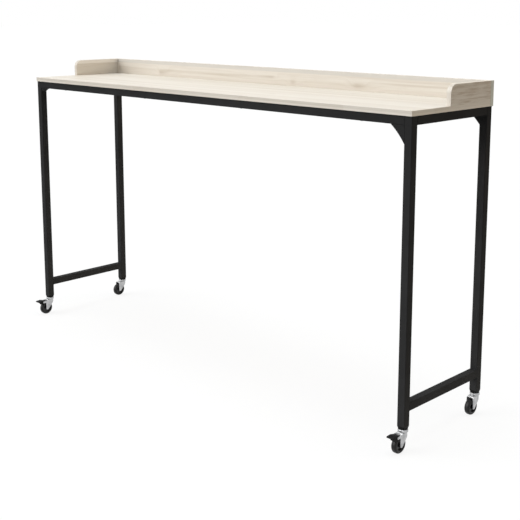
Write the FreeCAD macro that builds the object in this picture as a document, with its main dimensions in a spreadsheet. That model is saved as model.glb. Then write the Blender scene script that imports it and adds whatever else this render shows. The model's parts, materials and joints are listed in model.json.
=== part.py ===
# Over-the-bed desk: a gallery-backed worktop on a square-tube steel frame with four swivel casters.
# Axes: +X along the worktop to the right, +Y to the back panel, +Z up from the floor. Millimetres.
import FreeCAD
import Part
import math
import os
import Sketcher
from FreeCAD import Placement, Rotation, Vector

SIZES = (
    # Worktop and gallery
    ("top_length", 1800, "worktop, end to end"),
    ("top_depth", 400, "worktop's front edge to the back panel's rear face"),
    ("worktop_height", 960, "floor to the worktop's upper face"),
    ("board_thickness", 15, "worktop board"),
    ("panel_thickness", 15, "back and side panels"),
    ("gallery_height", 60, "panels above the worktop"),
    ("side_panel_length", 205, "side panel, front edge to back panel"),
    ("side_panel_round", 24, "radius of a side panel's front top corner"),
    ("edge_round", 0.8, "radius of the boards' banded edges"),
    # Steel frame
    ("front_overhang", 3, "board beyond the frame at the front"),
    ("back_overhang", 5, "back panel beyond the frame at the back"),
    ("end_overhang", 1, "board beyond the frame at each end"),
    ("tube", 25, "square tube, outside"),
    ("tube_wall", 1.2, "wall of the square tube"),
    ("tube_round", 2, "outside corner radius of the tube"),
    ("bore_round", 0.8, "inside corner radius of the tube"),
    ("stretcher_height", 117, "floor to the underside of the stretchers"),
    ("gusset_thickness", 3, "corner plates"),
    ("right_gusset_width", 45, "right corner plates, along the rail"),
    ("right_gusset_drop", 50, "right corner plates, down the leg"),
    ("right_gusset_hollow", 2.6, "depth of the right plates' hollow edge"),
    ("left_gusset_width", 15, "left corner plates, along the rail"),
    ("left_gusset_drop", 12, "left corner plates, down the leg"),
    ("left_gusset_hollow", 1, "depth of the left plates' hollow edge"),
    # Fasteners
    ("hole_play", 0.5, "clearance hole over its screw, on the diameter"),
    ("pilot_play", 0.1, "socket over what it holds, on the diameter"),
    ("spigot_gap", 0.2, "between a spigot and the rail round it"),
    ("spigot_wall", 1.5, "wall of a spigot"),
    ("spigot_length", 60, "reach of a spigot into its rail"),
    ("rail_bolt", 6, "diameter of a rail bolt"),
    ("rail_bolt_place", 32, "rail bolt from the leg's face"),
    ("rail_bolt_grip", 7, "shank of a rail bolt"),
    ("rail_bolt_head", 10.5, "diameter of a rail bolt's head"),
    ("rail_bolt_rise", 3.2, "height of a rail bolt's head"),
    ("rail_bolt_bevel", 1.4, "bevel of a rail bolt's head"),
    ("worktop_screw", 4, "diameter of a worktop screw"),
    ("worktop_screw_bite", 10, "reach of a worktop screw into the board"),
    ("worktop_screw_head", 8, "diameter of a worktop screw's head"),
    ("worktop_screw_rise", 2.4, "height of a worktop screw's head"),
    ("worktop_screw_end", 154, "outer worktop screws from the legs"),
    ("back_screw_inset", 9, "back rail's worktop screws from the board's rear edge"),
    ("side_rail_screw", 100, "side rail's worktop screw from the front leg"),
    ("panel_screw", 5, "diameter of a panel screw"),
    ("panel_screw_length", 45, "panel screw, overall"),
    ("panel_screw_head", 9, "diameter of a panel screw's countersunk head"),
    ("screw_point", 2.5, "length of a screw's point"),
    ("back_panel_screw_end", 100, "outer screws of the back panel from its ends"),
    ("side_panel_screw_end", 40, "screws of a side panel from its ends"),
    ("dowel", 8, "diameter of a dowel"),
    ("dowel_length", 30, "dowel, overall"),
    ("dowel_seat", 10, "reach of a dowel into the back panel"),
    ("dowel_end", 300, "outer dowels under the back panel from its ends"),
    # Leg plugs and swivels
    ("plug_drop", 9.5, "tapered foot of a leg plug below the tube"),
    ("plug_inset", 2.3, "taper of a plug's foot on each side"),
    ("plug_shank", 30, "leg plug inside the tube"),
    ("plug_gap", 0.2, "between a plug's shank and the tube"),
    ("stem", 10, "diameter of a caster's stem"),
    ("stem_length", 28, "caster's stem inside the plug"),
    ("stem_bevel", 1, "bevel of the stem's end"),
    ("kingpin", 8, "diameter of the pin that the fork swivels on"),
    ("kingpin_head", 13, "diameter of the kingpin's rivet head"),
    ("kingpin_head_rise", 1.7, "height of the kingpin's rivet head"),
    ("kingpin_head_bevel", 0.8, "bevel of the kingpin's rivet head"),
    ("running_gap", 0.05, "radial clearance round a pin that something turns on"),
    ("side_gap", 0.3, "clearance beside a piece that turns"),
    ("swivel_gap", 0.5, "bearing cap above the fork"),
    ("swivel_cap", 30, "diameter of the bearing cap"),
    ("swivel_cap_height", 6.5, "bearing cap, overall"),
    ("swivel_cap_wall", 1.5, "sheet of the bearing cap"),
    ("swivel_cap_bevel", 1.4, "bevel of the bearing cap's upper edge"),
    ("washer_gap", 0.6, "between the thrust washer and the cap round it"),
    # Wheels
    ("wheel", 50, "wheel diameter"),
    ("tyre_width", 18, "tread width"),
    ("tyre_depth", 6, "tread thickness"),
    ("tyre_round", 5.8, "shoulder radius of the tread"),
    ("rim_width", 16, "rim of the wheel centre, side to side"),
    ("rim_depth", 3, "thickness of the rim"),
    ("web_thickness", 6, "web of the wheel centre"),
    ("boss", 14, "diameter of the wheel centre's boss"),
    ("axle", 6, "axle diameter"),
    ("axle_head", 9, "diameter of the axle's heads"),
    ("pin_head_rise", 1, "height of the heads of axles and brake pins"),
    ("pin_head_bevel", 0.5, "bevel of the heads of axles and brake pins"),
    # Forks
    ("trail", 20, "wheel axle ahead of the swivel axis"),
    ("wheel_clearance", 6.7, "fork plate above the wheel"),
    ("wheel_side_gap", 1.2, "fork cheek beside the tread"),
    ("fork_sheet", 1.8, "sheet of the fork"),
    ("fork_bend", 3, "outside radius of the fork's bends"),
    ("fork_back_flat", 3, "flat of the fork's round back"),
    ("fork_back_skirt", 5, "height of the fork's back"),
    ("fork_tip", 6, "axle to the front and lower edges of a cheek"),
    ("fork_tip_heel", 3, "axle to the rear lower corner of a cheek"),
    ("fork_tip_round", 5, "corner radius of a cheek's tip"),
    ("fork_nose_round", 4, "front top corner of a plain fork"),
    # Brakes of the front casters
    ("brake_pin", 4, "diameter of the pin that a pedal turns on"),
    ("brake_pin_head", 6, "diameter of the brake pin's heads"),
    ("brake_pin_ahead", 15, "brake pin ahead of the axle"),
    ("brake_pin_above", 2.5, "brake pin above the wheel"),
    ("shoulder", 15, "swivel axis to the end of a braked fork's plate"),
    ("shoulder_slope", 3, "length of the slope from plate to ears"),
    ("ear_above", 3.2, "fork ear above the brake pin"),
    ("ear_below", 4.2, "fork ear below the brake pin"),
    ("ear_ahead", 5, "fork ear ahead of the brake pin"),
    ("ear_round", 2.8, "corner radius of a fork ear"),
    ("ear_fillet", 2, "radius between fork ear and cheek"),
    ("pedal_reach", 60, "swivel axis to the pedal's tip"),
    ("pedal_side_gap", 0.4, "pedal beside the fork's ears"),
    ("pedal_tip", 3.2, "thickness of the pedal's tip"),
    ("pedal_tip_above", 5, "pedal's tip above the brake pin"),
    ("pedal_ridge_above", 6.5, "pedal's ridge above the brake pin"),
    ("pedal_ridge_ahead", 4, "pedal's ridge ahead of the brake pin"),
    ("pedal_ridge_round", 6, "radius of the pedal's ridge"),
    ("pedal_heel_above", 1.5, "pedal's heel above the brake pin"),
    ("pedal_heel_behind", 12, "pedal's heel behind the brake pin"),
    ("pedal_belly_ahead", 10.2, "bend under the pedal ahead of the brake pin"),
    ("pedal_belly_below", 6.5, "bend under the pedal below the brake pin"),
    ("toe_width", 26, "toe plate of the pedal, side to side"),
    ("toe_ahead", 6.2, "rear edge of the toe plate ahead of the brake pin"),
    ("pedal_corner", 2.5, "plan radius of the toe plate's front corners"),
    ("pedal_edge", 1, "edge radius of the pedal"),
    ("shoe_ahead", 7, "lower end of the brake shoe ahead of the brake pin"),
    ("shoe_below", 12.5, "lower end of the brake shoe below the brake pin"),
    ("shoe_gap", 2.8, "brake shoe clear of the tread at rest"),
    ("groove", 1.6, "diameter of the pedal's grip grooves"),
    ("groove_first", 5, "first grip groove from the pedal's tip"),
    ("groove_pitch", 3.4, "grip grooves, one to the next"),
)

# Places that several pieces share, worked out from the sizes.
PLACES = (
    ("front_y", "(dims.pedal_reach - dims.front_overhang - dims.tube / 2 - dims.top_depth) / 2"),
    ("back_y", "places.front_y + dims.top_depth"),
    ("panel_y", "places.back_y - dims.panel_thickness"),
    ("end_x", "dims.top_length / 2"),
    ("side_panel_x", "places.end_x - dims.panel_thickness / 2"),
    ("board_z", "dims.worktop_height - dims.board_thickness"),
    ("leg_x", "places.end_x - dims.end_overhang - dims.tube / 2"),
    ("leg_front_y", "places.front_y + dims.front_overhang + dims.tube / 2"),
    ("leg_back_y", "places.back_y - dims.back_overhang - dims.tube / 2"),
    ("rail_z", "places.board_z - dims.tube / 2"),
    ("rail_length", "2 * places.leg_x - dims.tube"),
    ("side_rail_length", "places.leg_back_y - places.leg_front_y - dims.tube"),
    ("tube_bore", "dims.tube - 2 * dims.tube_wall"),
    ("spigot", "places.tube_bore - 2 * dims.spigot_gap"),
    ("axle_z", "dims.wheel / 2"),
    ("tyre_seat", "dims.wheel / 2 - dims.tyre_depth"),
    ("fork_gap", "dims.tyre_width + 2 * dims.wheel_side_gap"),
    ("fork_width", "places.fork_gap + 2 * dims.fork_sheet"),
    ("fork_front", "dims.trail + dims.fork_tip"),
    ("fork_back_round", "(places.fork_width - dims.fork_back_flat) / 2"),
    ("plate_z", "dims.wheel + dims.wheel_clearance"),
    ("fork_top", "places.plate_z + dims.fork_sheet"),
    ("caster_height", "places.fork_top + dims.swivel_gap + dims.swivel_cap_height"),
    ("cap_roof", "places.caster_height - dims.swivel_cap_wall"),
    ("leg_foot", "places.caster_height + dims.plug_drop"),
    ("brake_pin_place", "dims.trail + dims.brake_pin_ahead"),
    ("brake_pin_z", "dims.wheel + dims.brake_pin_above"),
    ("pedal_width", "places.fork_gap - 2 * dims.pedal_side_gap"),
    ("pedal_tip_z", "places.brake_pin_z + dims.pedal_tip_above"),
    ("pedal_ridge_place", "places.brake_pin_place + dims.pedal_ridge_ahead"),
    ("toe_back", "places.brake_pin_place + dims.toe_ahead"),
)

ENDS = {"left": -1, "right": 1}
DEPTHS = {"front": -1, "back": 1}
CORNERS = tuple((depth, end) for depth in DEPTHS for end in ENDS)
BRAKED = "front"
WORKTOP_SCREWS_PER_RAIL = 4
BACK_PANEL_SCREWS = 5
BACK_PANEL_DOWELS = 4
PEDAL_GROOVES = 4
ALONG_X = Rotation(Vector(0, 1, 0), 90)
ALONG_Y = Rotation(Vector(1, 0, 0), -90)
TOWARDS_FRONT = Rotation(Vector(1, 0, 0), 90)
CLOSE = 0.01

doc = FreeCAD.newDocument("over_bed_desk")
dims = doc.addObject("Spreadsheet::Sheet", "dims")
for row, (alias, size, meaning) in enumerate(SIZES, start=1):
    dims.set(f"A{row}", meaning)
    dims.set(f"B{row}", str(size))
    dims.setAlias(f"B{row}", alias)
doc.recompute()
places = doc.addObject("App::VarSet", "places")
for name, expression in PLACES:
    places.addProperty("App::PropertyFloat", name)
    places.setExpression(name, expression)
doc.recompute()
pieces = []


def value(expression):
    """The number that an expression of sizes and places gives."""
    return float(dims.evalExpression(expression))


def put(piece, x="0", y="0", z="0", turned=None):
    """Places a piece by three expressions, after turning it."""
    if turned is not None:
        piece.Placement = Placement(Vector(), turned)
    for axis, expression in zip("xyz", (x, y, z)):
        piece.setExpression(f"Placement.Base.{axis}", expression)


def new_body(label, is_piece=True):
    """An empty body. A piece is written to a file of its own under its label."""
    body = doc.addObject("PartDesign::Body", label)
    body.Label = label
    if is_piece:
        pieces.append(body)
    return body


def group(label, members):
    """Like pieces, kept as separate solids under one label."""
    compound = doc.addObject("Part::Compound", label)
    compound.Label = label
    compound.Links = members
    pieces.append(compound)


def new_sketch(body, plane, name, rise="0"):
    """A sketch on one of the body's own planes, raised along its normal."""
    sketch = body.newObject("Sketcher::SketchObject", f"{body.Name}_{name}")
    support = next(item for item in body.Origin.OriginFeatures if item.Role == f"{plane}_Plane")
    sketch.AttachmentSupport = [(support, "")]
    sketch.MapMode = "FlatFace"
    sketch.setExpression("AttachmentOffset.Base.z", rise)
    return sketch


def constrain(sketch, rules):
    """Adds (constraint, expression) rules, and ties each to its expression if it has one."""
    ids = sketch.addConstraint([rule for rule, expression in rules])
    for index, (rule, expression) in zip(ids, rules):
        if expression is not None:
            sketch.setExpression(f"Constraints[{index}]", expression)


def held(geometry, vertex, x, y):
    """Rules that hold a vertex at two expressions."""
    return [
        (Sketcher.Constraint("DistanceX", -1, 1, geometry, vertex, value(x)), x),
        (Sketcher.Constraint("DistanceY", -1, 1, geometry, vertex, value(y)), y),
    ]


def draw_circle(sketch, x, y, diameter):
    """A circle at two expressions."""
    centre = Vector(value(x), value(y), 0)
    index = sketch.addGeometry(Part.Circle(centre, Vector(0, 0, 1), value(diameter) / 2))
    size = Sketcher.Constraint("Diameter", index, value(diameter))
    constrain(sketch, held(index, 3, x, y) + [(size, diameter)])


def draw_arc(sketch, centre, radius, start, end):
    """An arc about a centre, counterclockwise from one point to another."""
    angles = [math.atan2(point.y - centre.y, point.x - centre.x) for point in (start, end)]
    circle = Part.Circle(centre, Vector(0, 0, 1), radius)
    return sketch.addGeometry(Part.ArcOfCircle(circle, *angles))


def round_corner(before, corner, after, radius):
    """Centre and ends of a corner's arc, and whether the outline turns left there."""
    back = (before - corner).normalize()
    ahead = (after - corner).normalize()
    half = back.getAngle(ahead) / 2
    reach = radius / math.tan(half)
    centre = corner + (back + ahead).normalize() * (radius / math.sin(half))
    turns_left = back.cross(ahead).z < 0
    return centre, corner + back * reach, corner + ahead * reach, turns_left


def draw_outline(sketch, corners):
    """A closed counterclockwise outline through corners (x, y) or rounded corners (x, y, radius)."""
    points = [Vector(value(corner[0]), value(corner[1]), 0) for corner in corners]
    count = len(points)
    arcs = {}
    rules = []
    marks = []
    for i, corner in enumerate(corners):
        marks.append(sketch.addGeometry(Part.Point(points[i]), True))
        rules += held(marks[i], 1, corner[0], corner[1])
        if len(corner) == 3:
            following = points[(i + 1) % count]
            arcs[i] = round_corner(points[i - 1], points[i], following, value(corner[2]))
    lines = []
    for i in range(count):
        following = (i + 1) % count
        start = arcs[i][2] if i in arcs else points[i]
        end = arcs[following][1] if following in arcs else points[following]
        line = sketch.addGeometry(Part.LineSegment(start, end))
        lines.append(line)
        for vertex, corner in ((1, i), (2, following)):
            if corner in arcs:
                rules.append((Sketcher.Constraint("PointOnObject", marks[corner], 1, line), None))
            else:
                rules.append((Sketcher.Constraint("Coincident", line, vertex, marks[corner], 1), None))
    for i, (centre, first, last, turns_left) in arcs.items():
        radius = corners[i][2]
        start, end = (first, last) if turns_left else (last, first)
        into, out = (1, 2) if turns_left else (2, 1)
        arc = draw_arc(sketch, centre, value(radius), start, end)
        rules.append((Sketcher.Constraint("Tangent", lines[i - 1], 2, arc, into), None))
        rules.append((Sketcher.Constraint("Tangent", arc, out, lines[i], 1), None))
        rules.append((Sketcher.Constraint("Radius", arc, value(radius)), radius))
    constrain(sketch, rules)


def draw_square(sketch, side, radius):
    """A centred square with rounded corners."""
    signs = ((-1, -1), (1, -1), (1, 1), (-1, 1))
    draw_outline(sketch, [(f"{x} * ({side}) / 2", f"{y} * ({side}) / 2", radius) for x, y in signs])


def draw_box(sketch, x_low, x_high, y_low, y_high):
    """A rectangle between four expressions."""
    draw_outline(sketch, [(x_low, y_low), (x_high, y_low), (x_high, y_high), (x_low, y_high)])


def pad(body, sketch, length, symmetric=False):
    """Thickens a sketch along its normal, or to both sides of it."""
    feature = body.newObject("PartDesign::Pad", f"{sketch.Name}_pad")
    feature.Profile = sketch
    feature.setExpression("Length", length)
    feature.SideType = "Symmetric" if symmetric else "One side"
    doc.recompute()
    return feature


def cut(body, sketch, depth=None, reverse=False):
    """Cuts a sketch into its body, right through if no depth is given, and checks that it did."""
    before = body.Shape.Volume
    feature = body.newObject("PartDesign::Pocket", f"{sketch.Name}_cut")
    feature.Profile = sketch
    feature.Reversed = reverse
    if depth is None:
        feature.Type = "ThroughAll"
        feature.SideType = "Symmetric"
    else:
        feature.setExpression("Length", depth)
    doc.recompute()
    if body.Shape.Volume >= before:
        raise RuntimeError(f"{sketch.Name} cuts nothing")
    return feature


def drill(body, plane, name, centres, diameter, depth=None, rise="0", reverse=False):
    """Round holes of one size at several places of a plane."""
    sketch = new_sketch(body, plane, name, rise)
    for x, y in centres:
        draw_circle(sketch, x, y, diameter)
    return cut(body, sketch, depth, reverse)


def countersink(body, plane, name, centres, rise="0"):
    """Conical seats for the heads of panel screws, cut along the plane's normal."""
    seat = "dims.panel_screw_head + dims.pilot_play"
    feature = drill(body, plane, name, centres, seat, f"{HEAD_DEPTH} + dims.pilot_play / 2", rise, True)
    feature.TaperAngle = -45
    doc.recompute()


def turn(body, name, corners):
    """Revolves an outline of radii and heights about the body's Z axis."""
    sketch = new_sketch(body, "XZ", name)
    draw_outline(sketch, corners)
    feature = body.newObject("PartDesign::Revolution", f"{sketch.Name}_turn")
    feature.Profile = sketch
    feature.ReferenceAxis = (sketch, ["V_Axis"])
    feature.Angle = 360
    doc.recompute()


def round_edges(body, feature, radius, chosen=None):
    """Rounds all edges of a feature, or those that a test of their bounds chooses."""
    edges = enumerate(feature.Shape.Edges, start=1)
    names = [f"Edge{i}" for i, edge in edges if chosen is None or chosen(edge.BoundBox)]
    fillet = body.newObject("PartDesign::Fillet", f"{feature.Name}_round")
    fillet.Base = (feature, names)
    fillet.setExpression("Radius", radius)
    doc.recompute()
    return fillet


def spread(count, reach):
    """Expressions for places spread evenly from -reach to +reach."""
    return [f"{2 * i / (count - 1) - 1} * ({reach})" for i in range(count)]


def leg_x(end):
    """Place of an end's legs along the worktop."""
    return f"{ENDS[end]} * places.leg_x"


def leg_y(depth):
    """Place of the front or back legs across the worktop."""
    return f"places.leg_{depth}_y"


def side_panel_x(end):
    """Middle of a side panel's thickness."""
    return f"{ENDS[end]} * places.side_panel_x"


# Where the fasteners of the worktop and the gallery stand.
RAIL_SCREW_X = spread(WORKTOP_SCREWS_PER_RAIL, "places.leg_x - dims.tube / 2 - dims.worktop_screw_end")
RAIL_SCREW_Y = {"front": "places.leg_front_y", "back": "places.panel_y - dims.back_screw_inset"}
SIDE_RAIL_SCREW_Y = "places.leg_front_y + dims.tube / 2 + dims.side_rail_screw"
WORKTOP_SCREWS = [(x, RAIL_SCREW_Y[depth]) for depth in DEPTHS for x in RAIL_SCREW_X]
WORKTOP_SCREWS += [(leg_x(end), SIDE_RAIL_SCREW_Y) for end in ENDS]
SIDE_PANEL_SCREW_Y = (
    "places.panel_y - dims.side_panel_screw_end",
    "places.panel_y - dims.side_panel_length + dims.side_panel_screw_end",
)
SIDE_PANEL_SCREWS = [(side_panel_x(end), y) for end in ENDS for y in SIDE_PANEL_SCREW_Y]
BOARD_MIDDLE = "dims.board_thickness / 2"
GALLERY_MIDDLE = "dims.board_thickness + dims.gallery_height / 2"
BACK_SCREWS = [(x, BOARD_MIDDLE)
               for x in spread(BACK_PANEL_SCREWS, "places.end_x - dims.back_panel_screw_end")]
BOARD_DOWELS = [(x, BOARD_MIDDLE) for x in spread(BACK_PANEL_DOWELS, "places.end_x - dims.dowel_end")]
SIDE_DOWELS = [(side_panel_x(end), GALLERY_MIDDLE) for end in ENDS]
SCREW_HOLE = "dims.panel_screw + dims.pilot_play"
SCREW_REACH = "dims.panel_screw_length + dims.pilot_play"
HEAD_DEPTH = "(dims.panel_screw_head - dims.panel_screw) / 2"
DOWEL_HOLE = "dims.dowel + dims.pilot_play"
DOWEL_REACH = "dims.dowel_length - dims.dowel_seat + dims.pilot_play"
WORKTOP_SCREW_HOLE = "dims.worktop_screw + dims.hole_play"
RAIL_BOLT_HOLE = "dims.rail_bolt + dims.hole_play"


def make_top_board():
    """Worktop board with pilot holes for its screws and dowels."""
    body = new_body("top_board")
    put(body, z="places.board_z")
    sketch = new_sketch(body, "XY", "outline")
    draw_box(sketch, "-places.end_x", "places.end_x", "places.front_y", "places.panel_y")
    round_edges(body, pad(body, sketch, "dims.board_thickness"), "dims.edge_round")
    drill(body, "XY", "rail_pilots", WORKTOP_SCREWS, "dims.worktop_screw + dims.pilot_play",
          "dims.worktop_screw_bite + dims.pilot_play", reverse=True)
    drill(body, "XY", "side_holes", SIDE_PANEL_SCREWS, SCREW_HOLE)
    countersink(body, "XY", "side_seats", SIDE_PANEL_SCREWS)
    drill(body, "XZ", "back_pilots", BACK_SCREWS, SCREW_HOLE, f"{SCREW_REACH} - dims.panel_thickness",
          "-places.panel_y", reverse=True)
    drill(body, "XZ", "dowel_holes", BOARD_DOWELS, DOWEL_HOLE, DOWEL_REACH, "-places.panel_y", reverse=True)


def make_back_panel():
    """Full-length panel that covers the board's rear edge and stands above the worktop."""
    body = new_body("back_panel")
    put(body, z="places.board_z")
    sketch = new_sketch(body, "XY", "outline")
    draw_box(sketch, "-places.end_x", "places.end_x", "places.panel_y", "places.back_y")
    slab = pad(body, sketch, "dims.board_thickness + dims.gallery_height")
    round_edges(body, slab, "dims.edge_round")
    drill(body, "XZ", "screw_holes", BACK_SCREWS, SCREW_HOLE)
    countersink(body, "XZ", "screw_seats", BACK_SCREWS, "-places.back_y")
    drill(body, "XZ", "dowel_holes", BOARD_DOWELS + SIDE_DOWELS, DOWEL_HOLE,
          "dims.dowel_seat + dims.pilot_play", "-places.panel_y")


def make_side_panel(end):
    """Short end panel with a rounded front top corner."""
    body = new_body(f"side_panel_{end}")
    put(body, side_panel_x(end), "places.panel_y", "dims.worktop_height")
    sketch = new_sketch(body, "YZ", "outline")
    draw_outline(sketch, [
        ("-dims.side_panel_length", "0"),
        ("0", "0"),
        ("0", "dims.gallery_height"),
        ("-dims.side_panel_length", "dims.gallery_height", "dims.side_panel_round"),
    ])
    round_edges(body, pad(body, sketch, "dims.panel_thickness", symmetric=True), "dims.edge_round")
    screws = [("0", f"{y} - places.panel_y") for y in SIDE_PANEL_SCREW_Y]
    drill(body, "XY", "screw_holes", screws, SCREW_HOLE, f"{SCREW_REACH} - dims.board_thickness", reverse=True)
    drill(body, "XZ", "dowel_hole", [("0", "dims.gallery_height / 2")], DOWEL_HOLE, DOWEL_REACH, reverse=True)


def make_panel_screw(label):
    """Countersunk screw that points up from the face that its head is flush with."""
    body = new_body(label, is_piece=False)
    turn(body, "section", [
        ("0", "0"),
        ("dims.panel_screw_head / 2", "0"),
        ("dims.panel_screw / 2", HEAD_DEPTH),
        ("dims.panel_screw / 2", "dims.panel_screw_length - dims.screw_point"),
        ("0", "dims.panel_screw_length"),
    ])
    return body


def make_gallery_fasteners():
    """Dowels and countersunk screws of the gallery."""
    dowels = []
    for i, (x, rise) in enumerate(BOARD_DOWELS + SIDE_DOWELS):
        dowel = doc.addObject("Part::Cylinder", f"dowel_{i}")
        dowel.setExpression("Radius", "dims.dowel / 2")
        dowel.setExpression("Height", "dims.dowel_length")
        put(dowel, x, "places.panel_y + dims.dowel_seat", f"places.board_z + {rise}", TOWARDS_FRONT)
        dowels.append(dowel)
    group("gallery_dowels", dowels)
    back_screws = []
    for i, (x, rise) in enumerate(BACK_SCREWS):
        screw = make_panel_screw(f"back_panel_screw_{i}")
        put(screw, x, "places.back_y", f"places.board_z + {rise}", TOWARDS_FRONT)
        back_screws.append(screw)
    group("back_panel_screws", back_screws)
    side_screws = []
    for i, (x, y) in enumerate(SIDE_PANEL_SCREWS):
        screw = make_panel_screw(f"side_panel_screw_{i}")
        put(screw, x, y, "places.board_z")
        side_screws.append(screw)
    group("side_panel_screws", side_screws)


def make_tube(label, length):
    """Square tube with rounded corners, centred on the body's Z axis."""
    body = new_body(label)
    sketch = new_sketch(body, "XY", "section")
    draw_square(sketch, "dims.tube", "dims.tube_round")
    draw_square(sketch, "places.tube_bore", "dims.bore_round")
    pad(body, sketch, length)
    return body


def make_long_rail(depth):
    """Long rail between the legs, drilled for the worktop screws and for the bolts of its spigots."""
    body = make_tube(f"{depth}_rail", "places.rail_length")
    put(body, "-places.rail_length / 2", leg_y(depth), "places.rail_z", ALONG_X)
    across = f"{RAIL_SCREW_Y[depth]} - {leg_y(depth)}"
    screws = [(across, f"places.rail_length / 2 + {x}") for x in RAIL_SCREW_X]
    drill(body, "YZ", "screw_holes", screws, WORKTOP_SCREW_HOLE)
    bolts = [("0", "dims.rail_bolt_place"), ("0", "places.rail_length - dims.rail_bolt_place")]
    drill(body, "XZ", "bolt_holes", bolts, RAIL_BOLT_HOLE, "dims.tube", reverse=depth == "back")


def make_side_rail(end):
    """Short rail of an end frame, drilled for its worktop screw."""
    body = make_tube(f"side_rail_{end}", "places.side_rail_length")
    put(body, leg_x(end), "places.leg_front_y + dims.tube / 2", "places.rail_z", ALONG_Y)
    drill(body, "XZ", "screw_holes", [("0", "dims.side_rail_screw")], WORKTOP_SCREW_HOLE)


def make_stretcher(end):
    """Low stretcher of an end frame."""
    body = make_tube(f"stretcher_{end}", "places.side_rail_length")
    put(body, leg_x(end), "places.leg_front_y + dims.tube / 2",
        "dims.stretcher_height + dims.tube / 2", ALONG_Y)


def make_leg(depth, end):
    """Leg from the plug up to the board."""
    body = make_tube(f"leg_{depth}_{end}", "places.board_z - places.leg_foot")
    put(body, leg_x(end), leg_y(depth), "places.leg_foot")


def make_gusset(depth, end):
    """Corner plate under a long rail, flush with the frame's outer face, with a hollow sloping edge."""
    sign = ENDS[end]
    width = f"dims.{end}_gusset_width"
    drop = f"dims.{end}_gusset_drop"
    hollow = f"dims.{end}_gusset_hollow"
    bow = f"(({width} ^ 2 + {drop} ^ 2) / 4 + {hollow} ^ 2) / (2 * {hollow})"
    body = new_body(f"gusset_{depth}_{end}")
    inset = "dims.gusset_thickness" if depth == "front" else "0"
    put(body, f"{sign} * places.rail_length / 2",
        f"{leg_y(depth)} + {DEPTHS[depth]} * dims.tube / 2 + {inset}", "places.board_z - dims.tube")
    sketch = new_sketch(body, "XZ", "outline")
    tip = Vector(-sign * value(width), 0, 0)
    foot = Vector(0, -value(drop), 0)
    outward = Vector(-sign * value(drop), -value(width), 0).normalize()
    centre = (tip + foot) / 2 + outward * (value(bow) - value(hollow))
    upper = sketch.addGeometry(Part.LineSegment(Vector(), tip))
    side = sketch.addGeometry(Part.LineSegment(Vector(), foot))
    start, end_point = (foot, tip) if sign > 0 else (tip, foot)
    edge = draw_arc(sketch, centre, value(bow), start, end_point)
    tip_vertex, foot_vertex = (2, 1) if sign > 0 else (1, 2)
    constrain(sketch, [
        (Sketcher.Constraint("Coincident", upper, 1, -1, 1), None),
        (Sketcher.Constraint("Coincident", side, 1, -1, 1), None),
        (Sketcher.Constraint("Coincident", edge, tip_vertex, upper, 2), None),
        (Sketcher.Constraint("Coincident", edge, foot_vertex, side, 2), None),
        (Sketcher.Constraint("Radius", edge, value(bow)), bow),
    ] + held(upper, 2, f"{-sign} * {width}", "0") + held(side, 2, "0", f"-{drop}"))
    pad(body, sketch, "dims.gusset_thickness")


def make_spigot(depth, end):
    """Square spigot on a leg, inside the end of a long rail, with a hole for the rail's bolt."""
    body = new_body(f"spigot_{depth}_{end}", is_piece=False)
    sketch = new_sketch(body, "XY", "section")
    draw_square(sketch, "places.spigot", "dims.bore_round")
    draw_square(sketch, "places.spigot - 2 * dims.spigot_wall", "dims.bore_round")
    pad(body, sketch, "dims.spigot_length")
    at_left = end == "left"
    start = "-places.rail_length / 2" if at_left else "places.rail_length / 2 - dims.spigot_length"
    put(body, start, leg_y(depth), "places.rail_z", ALONG_X)
    reach = "dims.rail_bolt_place" if at_left else "dims.spigot_length - dims.rail_bolt_place"
    drill(body, "XZ", "bolt_hole", [("0", reach)], "dims.rail_bolt + dims.pilot_play", "dims.tube",
          reverse=depth == "back")
    return body


def make_rail_bolt(depth, end):
    """Bolt through the inner face of a long rail into its spigot."""
    body = new_body(f"rail_bolt_{depth}_{end}", is_piece=False)
    turn(body, "section", [
        ("0", "-dims.rail_bolt_grip"),
        ("dims.rail_bolt / 2", "-dims.rail_bolt_grip"),
        ("dims.rail_bolt / 2", "0"),
        ("dims.rail_bolt_head / 2", "0"),
        ("dims.rail_bolt_head / 2", "dims.rail_bolt_rise - dims.rail_bolt_bevel"),
        ("dims.rail_bolt_head / 2 - dims.rail_bolt_bevel", "dims.rail_bolt_rise"),
        ("0", "dims.rail_bolt_rise"),
    ])
    put(body, f"{ENDS[end]} * (places.rail_length / 2 - dims.rail_bolt_place)",
        f"{leg_y(depth)} - {DEPTHS[depth]} * dims.tube / 2", "places.rail_z",
        ALONG_Y if depth == "front" else TOWARDS_FRONT)
    return body


def make_worktop_screw(index, x, y):
    """Screw from under a rail up into the board."""
    body = new_body(f"worktop_screw_{index}", is_piece=False)
    reach = "dims.tube + dims.worktop_screw_bite"
    turn(body, "section", [
        ("0", "-dims.worktop_screw_rise"),
        ("dims.worktop_screw_head / 2", "-dims.worktop_screw_rise"),
        ("dims.worktop_screw_head / 2", "0"),
        ("dims.worktop_screw / 2", "0"),
        ("dims.worktop_screw / 2", f"{reach} - dims.screw_point"),
        ("0", reach),
    ])
    put(body, x, y, "places.board_z - dims.tube")
    return body


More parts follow.
